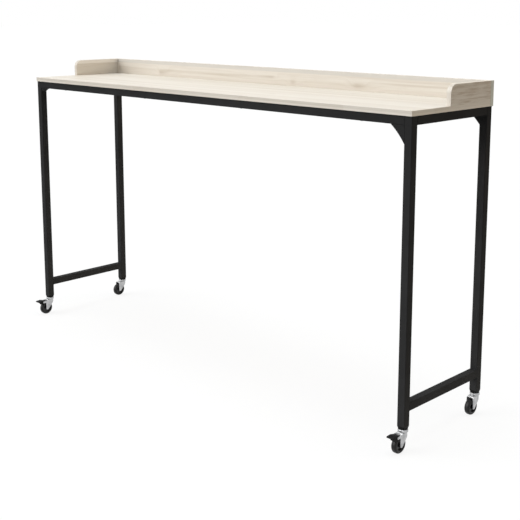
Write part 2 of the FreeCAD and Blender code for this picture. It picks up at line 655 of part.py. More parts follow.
def make_leg_plug(depth, end):
    """Plug with a tapered foot below the leg, a shank inside it and a bore for the caster's stem."""
    body = new_body(f"leg_plug_{depth}_{end}")
    put(body, leg_x(end), leg_y(depth), "places.leg_foot")
    shank = new_sketch(body, "XY", "shank")
    draw_square(shank, "places.tube_bore - 2 * dims.plug_gap", "dims.bore_round")
    pad(body, shank, "dims.plug_shank")
    brim = new_sketch(body, "XY", "brim")
    draw_square(brim, "dims.tube", "dims.tube_round")
    sole = new_sketch(body, "XY", "sole", "-dims.plug_drop")
    draw_square(sole, "dims.tube - 2 * dims.plug_inset", "dims.tube_round")
    foot = body.newObject("PartDesign::AdditiveLoft", f"{body.Name}_foot")
    foot.Profile = brim
    foot.Sections = [sole]
    foot.Ruled = True
    doc.recompute()
    drill(body, "XY", "bore", [("0", "0")], "dims.stem + dims.pilot_play",
          "dims.stem_length + dims.pilot_play", "-dims.plug_drop", reverse=True)


def make_stem(depth, end):
    """Caster's stem, with the kingpin below it and the kingpin's rivet head under the fork's plate."""
    body = new_body(f"caster_stem_{depth}_{end}")
    put(body, leg_x(end), leg_y(depth))
    top = "places.caster_height + dims.stem_length"
    head = "places.plate_z - dims.side_gap"
    turn(body, "section", [
        ("0", f"{head} - dims.kingpin_head_rise"),
        ("dims.kingpin_head / 2 - dims.kingpin_head_bevel", f"{head} - dims.kingpin_head_rise"),
        ("dims.kingpin_head / 2", f"{head} - dims.kingpin_head_rise + dims.kingpin_head_bevel"),
        ("dims.kingpin_head / 2", head),
        ("dims.kingpin / 2", head),
        ("dims.kingpin / 2", "places.caster_height"),
        ("dims.stem / 2", "places.caster_height"),
        ("dims.stem / 2", f"{top} - dims.stem_bevel"),
        ("dims.stem / 2 - dims.stem_bevel", top),
        ("0", top),
    ])


def make_swivel_cap(depth, end):
    """Bearing cap: a shallow cup, upside down on the fork."""
    body = new_body(f"swivel_cap_{depth}_{end}")
    put(body, leg_x(end), leg_y(depth))
    eye = "dims.kingpin / 2 + dims.running_gap"
    inside = "dims.swivel_cap / 2 - dims.swivel_cap_wall"
    skirt = "places.fork_top + dims.swivel_gap"
    turn(body, "section", [
        (eye, "places.cap_roof"),
        (inside, "places.cap_roof"),
        (inside, skirt),
        ("dims.swivel_cap / 2", skirt),
        ("dims.swivel_cap / 2", "places.caster_height - dims.swivel_cap_bevel"),
        ("dims.swivel_cap / 2 - dims.swivel_cap_bevel", "places.caster_height"),
        (eye, "places.caster_height"),
    ])


def make_thrust_washer(depth, end):
    """Plain washer between a bearing cap and its fork."""
    body = new_body(f"thrust_washer_{depth}_{end}", is_piece=False)
    put(body, leg_x(end), leg_y(depth))
    inner = "dims.kingpin / 2 + dims.running_gap"
    outer = "dims.swivel_cap / 2 - dims.swivel_cap_wall - dims.washer_gap"
    low = "places.fork_top + dims.side_gap"
    turn(body, "section", [
        (inner, low),
        (outer, low),
        (outer, "places.cap_roof"),
        (inner, "places.cap_roof"),
    ])
    return body


def fork_outline(braked):
    """Side view of a fork: a plain nose, or ears for the pin of a brake pedal."""
    low = "places.axle_z - dims.fork_tip"
    back = "places.fork_width / 2"
    cheek = [
        ("-places.fork_front", low, "dims.fork_tip_round"),
        ("-dims.trail + dims.fork_tip_heel", low, "dims.fork_tip_round"),
        (back, "places.fork_top - dims.fork_back_skirt"),
        (back, "places.fork_top"),
    ]
    if not braked:
        return cheek + [("-places.fork_front", "places.fork_top")]
    ear_front = "-places.brake_pin_place - dims.ear_ahead"
    ear_top = "places.brake_pin_z + dims.ear_above"
    ear_low = "places.brake_pin_z - dims.ear_below"
    return cheek + [
        ("-dims.shoulder", "places.fork_top"),
        ("-dims.shoulder - dims.shoulder_slope", ear_top),
        (ear_front, ear_top, "dims.ear_round"),
        (ear_front, ear_low, "dims.ear_round"),
        ("-places.fork_front", ear_low, "dims.ear_fillet"),
    ]


def make_fork(depth, end):
    """Stamped fork: a plate on the kingpin, a round closed back and cheeks that narrow to the axle."""
    braked = depth == BRAKED
    body = new_body(f"fork_{depth}_{end}")
    put(body, leg_x(end), leg_y(depth))
    side = new_sketch(body, "YZ", "side")
    draw_outline(side, fork_outline(braked))
    block = pad(body, side, "places.fork_width", symmetric=True)
    top = value("places.fork_top")
    back = value("places.fork_width / 2")

    def at_back(box):
        return box.XLength < CLOSE and box.YLength < CLOSE and box.YMax > back - CLOSE

    def at_bend(box):
        return box.ZMin > top - CLOSE and (box.YLength > CLOSE or box.YMin > 0)

    rounded = round_edges(body, block, "places.fork_back_round", at_back)
    round_edges(body, rounded, "dims.fork_bend", at_bend)
    inside = new_sketch(body, "XY", "inside")
    inner_back = "places.fork_width / 2 - dims.fork_sheet"
    inner_round = "places.fork_back_round - dims.fork_sheet"
    draw_outline(inside, [
        ("-places.fork_gap / 2", "-dims.pedal_reach"),
        ("places.fork_gap / 2", "-dims.pedal_reach"),
        ("places.fork_gap / 2", inner_back, inner_round),
        ("-places.fork_gap / 2", inner_back, inner_round),
    ])
    cut(body, inside, "places.plate_z", reverse=True)
    drill(body, "XY", "kingpin_eye", [("0", "0")], "dims.kingpin + 2 * dims.running_gap")
    drill(body, "YZ", "axle_eye", [("-dims.trail", "places.axle_z")], "dims.axle + dims.pilot_play")
    if braked:
        slot = new_sketch(body, "XY", "pedal_slot")
        draw_box(slot, "-places.fork_gap / 2", "places.fork_gap / 2",
                 "-dims.pedal_reach", "-dims.shoulder - dims.shoulder_slope")
        cut(body, slot)
        drill(body, "YZ", "pin_eye", [("-places.brake_pin_place", "places.brake_pin_z")],
              "dims.brake_pin + dims.pilot_play")
    else:
        round_nose(body)


def round_nose(body):
    """Rounds the front top corner of a plain fork."""
    nose = new_sketch(body, "YZ", "nose")
    low = "places.fork_top - 2 * dims.fork_nose_round"
    draw_outline(nose, [
        ("-dims.pedal_reach", low),
        ("-places.fork_front", low),
        ("-places.fork_front", "places.fork_top", "dims.fork_nose_round"),
        ("-dims.trail", "places.fork_top"),
        ("-dims.trail", "places.caster_height"),
        ("-dims.pedal_reach", "places.caster_height"),
    ])
    cut(body, nose)


def make_headed_pin(label, shank, head):
    """Pin across a fork, with a bevelled head at each end, centred on the body's Z axis."""
    body = new_body(label)
    inner = "places.fork_width / 2"
    outer = "places.fork_width / 2 + dims.pin_head_rise"
    turn(body, "section", [
        ("0", f"-({outer})"),
        (f"{head} / 2 - dims.pin_head_bevel", f"-({outer})"),
        (f"{head} / 2", f"-({outer}) + dims.pin_head_bevel"),
        (f"{head} / 2", f"-{inner}"),
        (f"{shank} / 2", f"-{inner}"),
        (f"{shank} / 2", inner),
        (f"{head} / 2", inner),
        (f"{head} / 2", f"{outer} - dims.pin_head_bevel"),
        (f"{head} / 2 - dims.pin_head_bevel", outer),
        ("0", outer),
    ])
    return body


def make_wheel(depth, end):
    """Axle, wheel centre and tread of one caster."""
    axle = make_headed_pin(f"axle_{depth}_{end}", "dims.axle", "dims.axle_head")
    eye = "dims.axle / 2 + dims.running_gap"
    inner_rim = "places.tyre_seat - dims.rim_depth"
    boss = "(places.fork_gap / 2 - dims.side_gap)"
    hub = new_body(f"hub_{depth}_{end}")
    turn(hub, "section", [
        (eye, f"-{boss}"),
        ("dims.boss / 2", f"-{boss}"),
        ("dims.boss / 2", "-dims.web_thickness / 2"),
        (inner_rim, "-dims.web_thickness / 2"),
        (inner_rim, "-dims.rim_width / 2"),
        ("places.tyre_seat", "-dims.rim_width / 2"),
        ("places.tyre_seat", "dims.rim_width / 2"),
        (inner_rim, "dims.rim_width / 2"),
        (inner_rim, "dims.web_thickness / 2"),
        ("dims.boss / 2", "dims.web_thickness / 2"),
        ("dims.boss / 2", boss),
        (eye, boss),
    ])
    tyre = new_body(f"tyre_{depth}_{end}")
    turn(tyre, "section", [
        ("places.tyre_seat", "-dims.tyre_width / 2"),
        ("dims.wheel / 2", "-dims.tyre_width / 2", "dims.tyre_round"),
        ("dims.wheel / 2", "dims.tyre_width / 2", "dims.tyre_round"),
        ("places.tyre_seat", "dims.tyre_width / 2"),
    ])
    for body in (axle, hub, tyre):
        put(body, leg_x(end), f"{leg_y(depth)} - dims.trail", "places.axle_z", ALONG_X)


def make_brake(depth, end):
    """Toe pedal whose shoe is hollowed to the wheel, and the pin that it turns on."""
    pin = make_headed_pin(f"brake_pin_{depth}_{end}", "dims.brake_pin", "dims.brake_pin_head")
    put(pin, leg_x(end), f"{leg_y(depth)} - places.brake_pin_place", "places.brake_pin_z", ALONG_X)
    body = new_body(f"brake_pedal_{depth}_{end}")
    put(body, leg_x(end), leg_y(depth))
    side = new_sketch(body, "YZ", "side")
    tip = "-dims.pedal_reach"
    heel = "-places.brake_pin_place + dims.pedal_heel_behind"
    heel_top = "places.brake_pin_z + dims.pedal_heel_above"
    shoe_low = "places.brake_pin_z - dims.shoe_below"
    draw_outline(side, [
        (tip, "places.pedal_tip_z - dims.pedal_tip"),
        ("-places.brake_pin_place - dims.pedal_belly_ahead", "places.brake_pin_z - dims.pedal_belly_below"),
        ("-places.brake_pin_place - dims.shoe_ahead", shoe_low),
        (heel, shoe_low),
        (heel, heel_top),
        ("-places.pedal_ridge_place", "places.brake_pin_z + dims.pedal_ridge_above", "dims.pedal_ridge_round"),
        (tip, "places.pedal_tip_z"),
    ])
    pad(body, side, "places.pedal_width", symmetric=True)
    slope = ("(dims.pedal_ridge_above - dims.pedal_tip_above)"
             " / (dims.pedal_reach - places.pedal_ridge_place)")
    toe = new_sketch(body, "YZ", "toe_plate")
    toe_low = "places.pedal_tip_z - dims.pedal_tip"
    draw_outline(toe, [
        (tip, toe_low),
        ("-places.toe_back", toe_low),
        ("-places.toe_back", f"places.pedal_tip_z + (dims.pedal_reach - places.toe_back) * {slope}"),
        (tip, "places.pedal_tip_z"),
    ])
    plate = pad(body, toe, "dims.toe_width", symmetric=True)
    front = value(tip)
    top = value("places.pedal_tip_z")
    side_x = value("dims.toe_width / 2")

    def at_tip(box):
        return box.XLength < CLOSE and box.YLength < CLOSE and box.YMax < front + CLOSE

    def at_rim(box):
        beside = max(abs(box.XMin), abs(box.XMax)) > side_x - CLOSE and box.YLength > CLOSE
        return box.ZMin > top - CLOSE and (beside or box.YMax < front + CLOSE)

    rounded = round_edges(body, plate, "dims.pedal_corner", at_tip)
    round_edges(body, rounded, "dims.pedal_edge", at_rim)
    drill(body, "YZ", "shoe", [("-dims.trail", "places.axle_z")], "dims.wheel + 2 * dims.shoe_gap")
    drill(body, "YZ", "pin_eye", [("-places.brake_pin_place", "places.brake_pin_z")],
          "dims.brake_pin + 2 * dims.running_gap")
    runs = [f"(dims.groove_first + {i} * dims.groove_pitch)" for i in range(PEDAL_GROOVES)]
    grooves = [(f"{tip} + {run}", f"places.pedal_tip_z + {run} * {slope}") for run in runs]
    drill(body, "YZ", "grooves", grooves, "dims.groove")


def write_parts():
    """Checks every object, then writes each piece to its own file."""
    doc.recompute()
    for item in doc.Objects:
        if "Invalid" in item.State or "Error" in item.State:
            raise RuntimeError(f"{item.Label} failed: {item.State}")
    for piece in pieces:
        if piece.Shape.isNull() or not piece.Shape.isValid():
            raise RuntimeError(f"{piece.Label} has no valid shape")
    os.makedirs("parts", exist_ok=True)
    for piece in pieces:
        piece.Shape.exportStep(os.path.join("parts", f"{piece.Label}.step"))
        print(piece.Label, len(piece.Shape.Solids), round(piece.Shape.Volume, 1))
    print(len(pieces), "pieces")


make_top_board()
make_back_panel()
make_gallery_fasteners()
for end in ENDS:
    make_side_panel(end)
    make_side_rail(end)
    make_stretcher(end)
for depth in DEPTHS:
    make_long_rail(depth)
for depth, end in CORNERS:
    make_leg(depth, end)
    make_gusset(depth, end)
    make_leg_plug(depth, end)
    make_stem(depth, end)
    make_swivel_cap(depth, end)
    make_fork(depth, end)
    make_wheel(depth, end)
    if depth == BRAKED:
        make_brake(depth, end)
group("rail_spigots", [make_spigot(depth, end) for depth, end in CORNERS])
group("rail_bolts", [make_rail_bolt(depth, end) for depth, end in CORNERS])
group("worktop_screws", [make_worktop_screw(i, x, y) for i, (x, y) in enumerate(WORKTOP_SCREWS)])
group("thrust_washers", [make_thrust_washer(depth, end) for depth, end in CORNERS])
write_parts()
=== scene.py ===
# %% [markdown]
# # Dressing an over-the-bed desk
# The desk comes from the workshop as bare solids: boards, square tubes, screws and four casters.
# Everything here is in metres and in the same axes as those solids: X runs along the worktop,
# Y goes to the back panel and Z goes up from the floor.
# Loading the solids comes first, because each finish and each added piece is placed on them.

# %% Load the bare solids
import json
import math

import bmesh
import bpy
from mathutils import Matrix, Vector


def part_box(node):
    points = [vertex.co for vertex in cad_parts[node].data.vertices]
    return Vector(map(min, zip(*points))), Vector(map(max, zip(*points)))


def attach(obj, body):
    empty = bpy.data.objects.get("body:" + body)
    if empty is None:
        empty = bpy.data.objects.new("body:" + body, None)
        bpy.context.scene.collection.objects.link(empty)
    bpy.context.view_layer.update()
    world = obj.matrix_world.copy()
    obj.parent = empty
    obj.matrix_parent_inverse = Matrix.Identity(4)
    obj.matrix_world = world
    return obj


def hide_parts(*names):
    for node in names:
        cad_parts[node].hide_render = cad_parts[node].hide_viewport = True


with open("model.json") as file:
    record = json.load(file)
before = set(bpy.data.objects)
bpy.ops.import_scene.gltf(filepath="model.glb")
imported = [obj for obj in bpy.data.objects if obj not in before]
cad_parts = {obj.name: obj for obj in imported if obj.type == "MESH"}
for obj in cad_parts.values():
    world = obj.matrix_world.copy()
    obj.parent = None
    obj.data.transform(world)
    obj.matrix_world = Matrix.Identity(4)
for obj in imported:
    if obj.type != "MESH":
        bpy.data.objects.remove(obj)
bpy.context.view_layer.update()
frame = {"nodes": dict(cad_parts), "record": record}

# %% [markdown]
# ## Building with nodes
# Each finish on the desk is a small network of nodes. By hand, every node takes one line and every one
# of its inputs another. Two helpers shorten that: one adds a node and fills its inputs, with plain values
# or with links from other nodes, and one adds a sum, a product or the like.

# %% Helpers for networks


def add_node(tree, kind, inputs=None, **settings):
    """Adds a node. Each input takes a plain value or another node's output."""
    node = tree.nodes.new(kind)
    for name, setting in settings.items():
        setattr(node, name, setting)
    for name, source in (inputs or {}).items():
        if isinstance(source, bpy.types.NodeSocket):
            tree.links.new(source, node.inputs[name])
        else:
            node.inputs[name].default_value = source
    return node


def math_node(tree, operation, first, second=0.0):
    """One sum, product or other operation on two numbers."""
    return add_node(tree, "ShaderNodeMath", {0: first, 1: second}, operation=operation).outputs[0]


print("helpers:", add_node.__name__, "and", math_node.__name__)

# %% [markdown]
# ## A white studio
# The desk was photographed as a cut-out on white. A white world could do that by itself, but it
# would also flood the desk with light. The Light Path node tells the kinds of ray apart: what the
# camera and the shiny metal see is white, and what lights the desk is a dimmer grey.

# %% The world
WHITE = (1, 1, 1, 1)
WORLD_LIGHT = 0.26


def rays_that_show(tree):
    """1 for the rays that show a surface as it is seen: by the camera, in metal or through glass."""
    path = add_node(tree, "ShaderNodeLightPath").outputs
    shiny = math_node(tree, "MAXIMUM", path["Is Glossy Ray"], path["Is Transmission Ray"])
    return math_node(tree, "MAXIMUM", path["Is Camera Ray"], shiny)


scene = bpy.context.scene
scene.view_settings.view_transform = "Standard"
world = bpy.data.worlds.new("white_studio")
scene.world = world
world.use_nodes = True
tree = world.node_tree
tree.nodes.clear()
seen = add_node(tree, "ShaderNodeBackground", {"Color": WHITE, "Strength": 1.0})
lighting = add_node(tree, "ShaderNodeBackground", {"Color": WHITE, "Strength": WORLD_LIGHT})
either = add_node(tree, "ShaderNodeMixShader", {
    0: rays_that_show(tree), 1: lighting.outputs[0], 2: seen.outputs[0]})
add_node(tree, "ShaderNodeOutputWorld", {"Surface": either.outputs[0]})
print("world lights the desk at", WORLD_LIGHT)

# %% [markdown]
# ## The floor
# The desk stands on a plain floor, which takes the shadow of its casters. A small floor would show its
# edge in some views, so this one is a big square whose edge is lost in the white far behind the desk.

# %% Lay the floor
FLOOR_REACH = 60.0

corner_ways = ((-1, -1), (1, -1), (1, 1), (-1, 1))
corners = [Vector((x * FLOOR_REACH, y * FLOOR_REACH, 0)) for x, y in corner_ways]
floor_mesh = bpy.data.meshes.new("floor")
floor_mesh.from_pydata(corners, [], [(0, 1, 2, 3)])
floor = bpy.data.objects.new("floor", floor_mesh)
scene.collection.objects.link(floor)
print("floor", 2 * FLOOR_REACH, "m wide")

# %% [markdown]
# A white floor under plain light still comes out grey beside a white world, with a line at the
# horizon. So most of what the camera sees of it is a plain white glow, and the rest is an ordinary
# matt white that takes the shadow. What bounces off it is the light of a white sheet under the desk on
# a dark floor: an endless white one would fill the shaded faces right up to the worktop, and in the
# photograph only the feet are lit from below.

# %% Paint the floor
FLOOR_GLOW = 0.86
FLOOR_SEEN = (0.92, 0.92, 0.92, 1)
SHEET_BOUNCE = (0.85, 0.85, 0.85, 1)
DARK_BOUNCE = (0.03, 0.03, 0.03, 1)
SHEET_REACH = 1.3


def mix_colour(tree, share, first, second):
    """One colour with a share of another."""
    return add_node(tree, "ShaderNodeMix", {0: share, 6: first, 7: second}, data_type="RGBA").outputs[2]


floor_paint = bpy.data.materials.new("white_floor")
floor_paint.use_nodes = True
tree = floor_paint.node_tree
tree.nodes.clear()
shown = rays_that_show(tree)
place = add_node(tree, "ShaderNodeTexCoord").outputs["Object"]
from_desk = add_node(tree, "ShaderNodeVectorMath", {0: place}, operation="LENGTH").outputs["Value"]
beyond = math_node(tree, "GREATER_THAN", from_desk, SHEET_REACH)
bounce = mix_colour(tree, beyond, SHEET_BOUNCE, DARK_BOUNCE)
matt = add_node(tree, "ShaderNodeBsdfDiffuse", {"Color": mix_colour(tree, shown, bounce, FLOOR_SEEN)})
glow = add_node(tree, "ShaderNodeEmission", {"Color": WHITE, "Strength": 1.0})
share = math_node(tree, "MULTIPLY", shown, FLOOR_GLOW)
floor_shader = add_node(tree, "ShaderNodeMixShader", {0: share, 1: matt.outputs[0], 2: glow.outputs[0]})
add_node(tree, "ShaderNodeOutputMaterial", {"Surface": floor_shader.outputs[0]})
floor_mesh.materials.append(floor_paint)
print("the white sheet reaches", SHEET_REACH, "m from the middle of the desk")

# %% [markdown]
# ## Soft lamps
# In the photograph the faces towards the front are bright, the worktop is brighter still and the
# faces towards the right are in shade: one big soft lamp stands to the front left, a cooler one hangs
# overhead and a weak, warmer one stands behind to the right. Glossy surfaces don't show that last one,
# because its gleam would wash out the grain of the worktop from the front left. Sun lamps with a wide
# angle act like large soft boxes, and they light the whole floor evenly, which a lamp close by wouldn't.

# %% Hang the lamps
COOL_WHITE = (0.94, 1.0, 1.04)
WARM_WHITE = (1.0, 0.83, 0.60)


def soft_lamp(name, towards_lamp, level, angle, colour=(1, 1, 1), gleam=True):
    """A sun lamp. A white matt face that looks straight at it gets the given level from it.

    Without a gleam, no glossy surface shows the lamp.
    """
    data = bpy.data.lights.new(name, "SUN")
    data.color = colour
    data.energy = level * math.pi
    data.angle = math.radians(angle)
    lamp = bpy.data.objects.new(name, data)
    lamp.rotation_euler = Vector(towards_lamp).to_track_quat("Z", "Y").to_euler()
    lamp.visible_glossy = gleam
    scene.collection.objects.link(lamp)


soft_lamp("front_left_lamp", towards_lamp=(-0.62, -0.80, 0.45), level=0.715, angle=50)
soft_lamp("overhead_lamp", towards_lamp=(-0.08, -0.05, 1.0), level=0.56, angle=42, colour=COOL_WHITE)
soft_lamp("back_right_lamp", towards_lamp=(0.62, 0.72, 0.32), level=0.42, angle=60,
          colour=WARM_WHITE, gleam=False)
print("lamps:", [item.name for item in bpy.data.lights])

# %% [markdown]
# ## The camera
# The place, the aim and the lens come from lining up the desk's corners with the photograph. There
# the upright legs stay parallel, which a lens shift gives: the camera looks down only a little, and the
# picture is taken from the lower part of what the lens sees. All other views keep the shift, and a full
# one would push the desk out of them, so here the camera has a part of it and the legs lean a little.

# %% Set up the camera
CAMERA_PLACE = (2.3790, -2.2351, 1.2220)
CAMERA_TURN = 0.78145
CAMERA_DIP = 0.16757
CAMERA_LENS = 66.252
CAMERA_SHIFT = -0.17
SENSOR_WIDTH = 36.0

camera_data = bpy.data.cameras.new("photo_camera")
camera_data.lens = CAMERA_LENS
camera_data.sensor_width = SENSOR_WIDTH
camera_data.shift_y = CAMERA_SHIFT
camera = bpy.data.objects.new("photo_camera", camera_data)
camera.location = CAMERA_PLACE
camera.rotation_euler = (math.pi / 2 - CAMERA_DIP, 0, CAMERA_TURN)
scene.collection.objects.link(camera)
scene.camera = camera
print("camera at", CAMERA_PLACE)

# %% [markdown]
# ## Whitewashed wood-grain laminate
# The boards are pressed wood under a printed paper: pale wood with faint grain that runs along each
# board, a few soft knots, and a narrow printed band glued round the edges. An image of wood would do,
# but it is fixed in size, so the grain is worked out from each point's own place on the desk.
#
# The grain is one pattern stretched along the board. Where a face is an end, the pattern is turned to
# run along that edge, as the glued band does.

# %% Which way the grain runs
LOOKS_ALONG = 0.7


def faces_towards(tree, axis, way):
    """1 on the faces that look along an axis, forwards for a way of 1 and backwards for -1."""
    normal = add_node(tree, "ShaderNodeNewGeometry").outputs["Normal"]
    facing = add_node(tree, "ShaderNodeSeparateXYZ", {0: normal}).outputs["XYZ".index(axis)]
    return math_node(tree, "GREATER_THAN", math_node(tree, "MULTIPLY", facing, way), LOOKS_ALONG)


def faces_along(tree, axis):
    """1 on the faces that look along an axis, either way."""
    return math_node(tree, "MAXIMUM", faces_towards(tree, axis, 1), faces_towards(tree, axis, -1))


def run_coordinates(tree, order, end_axis, end_order):
    """Metres along, across and into the board, turned on the faces that look along end_axis."""
    place = add_node(tree, "ShaderNodeTexCoord").outputs["Object"]
    axes = add_node(tree, "ShaderNodeSeparateXYZ", {0: place}).outputs
    runs = []
    for axis_order in (order, end_order):
        picked = {i: axes["XYZ".index(axis)] for i, axis in enumerate(axis_order)}
        runs.append(add_node(tree, "ShaderNodeCombineXYZ", picked).outputs[0])
    is_end = faces_along(tree, end_axis)
    mixed = add_node(tree, "ShaderNodeMix", {0: is_end, 4: runs[0], 5: runs[1]}, data_type="VECTOR")
    return mixed.outputs[1]


print("a face looks along an axis within", round(math.degrees(math.acos(LOOKS_ALONG))), "degrees of it")

# %% [markdown]
# Noise is the raw material of the print. It has many features across the grain for each one along it, so
# it comes out as streaks. A ramp then cuts it off at both ends, which leaves clear wood between them.

# %% Streaky noise
SEED_STEPS = (1.0, 1.7, 2.3)


def stretched_noise(tree, run, seed, along, across, detail, roughness=0.5):
    """Noise with so many features per metre along and across the grain, from 0 to 1."""
    scaled = add_node(tree, "ShaderNodeMapping", {
        "Vector": run,
        "Location": [seed * step for step in SEED_STEPS],
        "Scale": (along, across, across),
    })
    noise = add_node(tree, "ShaderNodeTexNoise", {
        "Vector": scaled.outputs[0], "Scale": 1.0, "Detail": detail, "Roughness": roughness})
    return noise.outputs["Fac"]


def ramp(tree, source, low, high):
    """0 below low, 1 above high, and smooth between them."""
    smooth = add_node(tree, "ShaderNodeMapRange", {0: source, 1: low, 2: high},
                      interpolation_type="SMOOTHSTEP")
    return smooth.outputs[0]


print("each seed moves the noise by", SEED_STEPS)

# %% [markdown]
# A knot is where a branch left the trunk. The grain flows round it, so each knot does two things: it
# adds a soft dark spot that fades further one way than the other, and it lifts the pattern of the rings
# nearby, which bends their lines into an eye. A dark line of late wood is a spot too, only a long flat
# one, which lifts nothing. On the back panel they stand where the photograph shows them: four soft knots,
# and three lines that fade out at both ends.

# %% Knots and dark lines
# Each is: place along, place across, reach before, reach after, half height, strength.
BACK_PANEL_KNOTS = (
    (-0.604, 0.9765, 0.008, 0.040, 0.0085, 1.0),
    (0.012, 0.9870, 0.050, 0.016, 0.0040, 0.9),
    (0.1154, 0.9735, 0.010, 0.014, 0.0075, 0.7),
    (0.402, 0.9770, 0.018, 0.034, 0.0085, 1.0),
)
BACK_PANEL_LINES = (
    (-0.540, 0.9850, 0.060, 0.120, 0.0030, 0.6),
    (-0.260, 0.9830, 0.130, 0.150, 0.0040, 0.8),
    (0.640, 0.9890, 0.170, 0.160, 0.0030, 1.0),
)
WORKTOP_KNOTS = (
    (-0.42, 0.115, 0.012, 0.030, 0.0070, 0.6),
    (0.28, -0.060, 0.024, 0.012, 0.0080, 0.6),
)


def spots(tree, run, places, falloff):
    """Soft spots added up. They fade faster with a larger falloff."""
    axes = add_node(tree, "ShaderNodeSeparateXYZ", {0: run}).outputs
    total = 0.0
    for along, across, before, after, half_height, strength in places:
        ahead = math_node(tree, "SUBTRACT", axes[0], along)
        sides = (
            math_node(tree, "DIVIDE", math_node(tree, "MINIMUM", ahead, 0.0), before),
            math_node(tree, "DIVIDE", math_node(tree, "MAXIMUM", ahead, 0.0), after),
            math_node(tree, "DIVIDE", math_node(tree, "SUBTRACT", axes[1], across), half_height),
        )
        squared = 0.0
        for side in sides:
            squared = math_node(tree, "ADD", squared, math_node(tree, "MULTIPLY", side, side))
        spot = math_node(tree, "EXPONENT", math_node(tree, "MULTIPLY", squared, -falloff))
        total = math_node(tree, "ADD", total, math_node(tree, "MULTIPLY", spot, strength))
    return total


print(len(BACK_PANEL_KNOTS) + len(WORKTOP_KNOTS), "knots and", len(BACK_PANEL_LINES), "dark lines")

# %% [markdown]
# The year rings of a tree show on a board as thin lines. Even stripes would look ruled, so the distance
# across the board is first moved about by slow noise and lifted at the knots. Then only its fraction is
# kept, which runs from 0 to 1 in each ring, and a power squeezes that into a thin line.

# %% Year rings
RINGS_PER_METRE = 62.0
RING_WANDER = 0.11
RING_SQUEEZE = 3.0
KNOT_LIFT = 1.6
SLOW_NOISE = {"along": 0.8, "across": 5, "detail": 2}


def ring_lines(tree, run, lift, seed):
    """Thin lines that wander along the board and part round its knots."""
    across = add_node(tree, "ShaderNodeSeparateXYZ", {0: run}).outputs[1]
    wander = stretched_noise(tree, run, seed, **SLOW_NOISE)
    bent = math_node(tree, "ADD", across, math_node(tree, "MULTIPLY", wander, RING_WANDER))
    phase = math_node(tree, "MULTIPLY", bent, RINGS_PER_METRE)
    phase = math_node(tree, "ADD", phase, math_node(tree, "MULTIPLY", lift, KNOT_LIFT))
    return math_node(tree, "POWER", math_node(tree, "FRACT", phase), RING_SQUEEZE)


print("rings", round(1000 / RINGS_PER_METRE), "mm apart")

# %% [markdown]
# The band on the narrow faces comes from another roll than the boards. On the worktop its lower half is
# paler, and on the ends of the back panel it is a greenish grey. Along the top of the gallery, on the
# faces towards the worktop, a strip has a tone of its own: lighter on the side panels, darker and greyer
# on the back panel. All of these follow the height of each point and the way its face looks.

# %% The edge band and the strip along the gallery
BOARD_BAND_UPPER = (0.985, 0.980, 0.970, 1)
BOARD_BAND_LOWER = (1.105, 1.100, 1.090, 1)
GALLERY_BAND = (0.980, 0.978, 0.970, 1)
PANEL_END_BAND = (0.87, 0.97, 0.98, 1)
BOARD_LINE = 0.9515
LINE_BLUR = 0.0012
STRIP_FROM = 1.0065
STRIP_BLUR = 0.0018
STRIP_SHARE = 0.8


def height_above(tree, line, blur):
    """0 below a height and 1 above it, with a soft step."""
    place = add_node(tree, "ShaderNodeTexCoord").outputs["Object"]
    height = add_node(tree, "ShaderNodeSeparateXYZ", {0: place}).outputs["Z"]
    return ramp(tree, height, line - blur, line + blur)


def add_band(tree, colour, banded_axes, upper, lower):
    """The tints of the edge band on the faces that look along the given axes."""
    is_band = 0.0
    for axis in banded_axes:
        is_band = math_node(tree, "MAXIMUM", is_band, faces_along(tree, axis))
    tint = mix_colour(tree, height_above(tree, BOARD_LINE, LINE_BLUR), lower, upper)
    tinted = add_node(tree, "ShaderNodeMix", {0: is_band, 6: colour, 7: tint},
                      data_type="RGBA", blend_type="MULTIPLY")
    return tinted.outputs[2]


def add_strip(tree, colour, axis, way, tone):
    """The strip along the top of a gallery panel, on the face towards the worktop."""
    above = height_above(tree, STRIP_FROM, STRIP_BLUR)
    is_strip = math_node(tree, "MULTIPLY", above, faces_towards(tree, axis, way))
    return mix_colour(tree, math_node(tree, "MULTIPLY", is_strip, STRIP_SHARE), colour, tone)


# %% [markdown]
# The print itself has five layers, from coarse to fine: broad pale and tan stripes, blotches where the
# white glaze is thin, the lines of the year rings, fine streaks, and short dark pores. Each layer of noise
# has its own count of features per metre along and across the grain, and two values to cut it off at.

# %% Colours and layers of the print
PALE_WOOD = (0.722, 0.672, 0.598, 1)
TAN_WOOD = (0.505, 0.428, 0.332, 1)
BARE_BROWN = (0.420, 0.330, 0.235, 1)
KNOT_BROWN = (0.300, 0.205, 0.120, 1)
STRIPES = {"low": 0.38, "high": 0.66, "along": 0.7, "across": 32, "detail": 2}
BLOTCHES = {"low": 0.42, "high": 0.70, "along": 15, "across": 170, "detail": 4, "roughness": 0.6}
STREAKS = {"low": 0.45, "high": 0.75, "along": 3.5, "across": 160, "detail": 4, "roughness": 0.6}
PORES = {"low": 0.62, "high": 0.75, "along": 28, "across": 1500, "detail": 2}


def print_layer(tree, run, seed, low, high, **noise):
    """A layer of streaky noise, 0 below low and 1 above high."""
    return ramp(tree, stretched_noise(tree, run, seed, **noise), low, high)


def weighed_sum(tree, layers):
    """The layers added up, each times its weight."""
    total = 0.0
    for layer, weight in layers:
        total = math_node(tree, "ADD", total, math_node(tree, "MULTIPLY", layer, weight))
    return total


print("pores", round(1000 / PORES["along"]), "mm apart along the grain")

# %% [markdown]
# Now the layers go on top of each other. The stripes, rings, streaks, pores and dark lines are weighed
# and turn pale wood to tan, the blotches bring out a bare brown, and the knots a darker one. The pores
# are also pressed into the paper, so they make a slight bump and take off a little of the satin gloss.

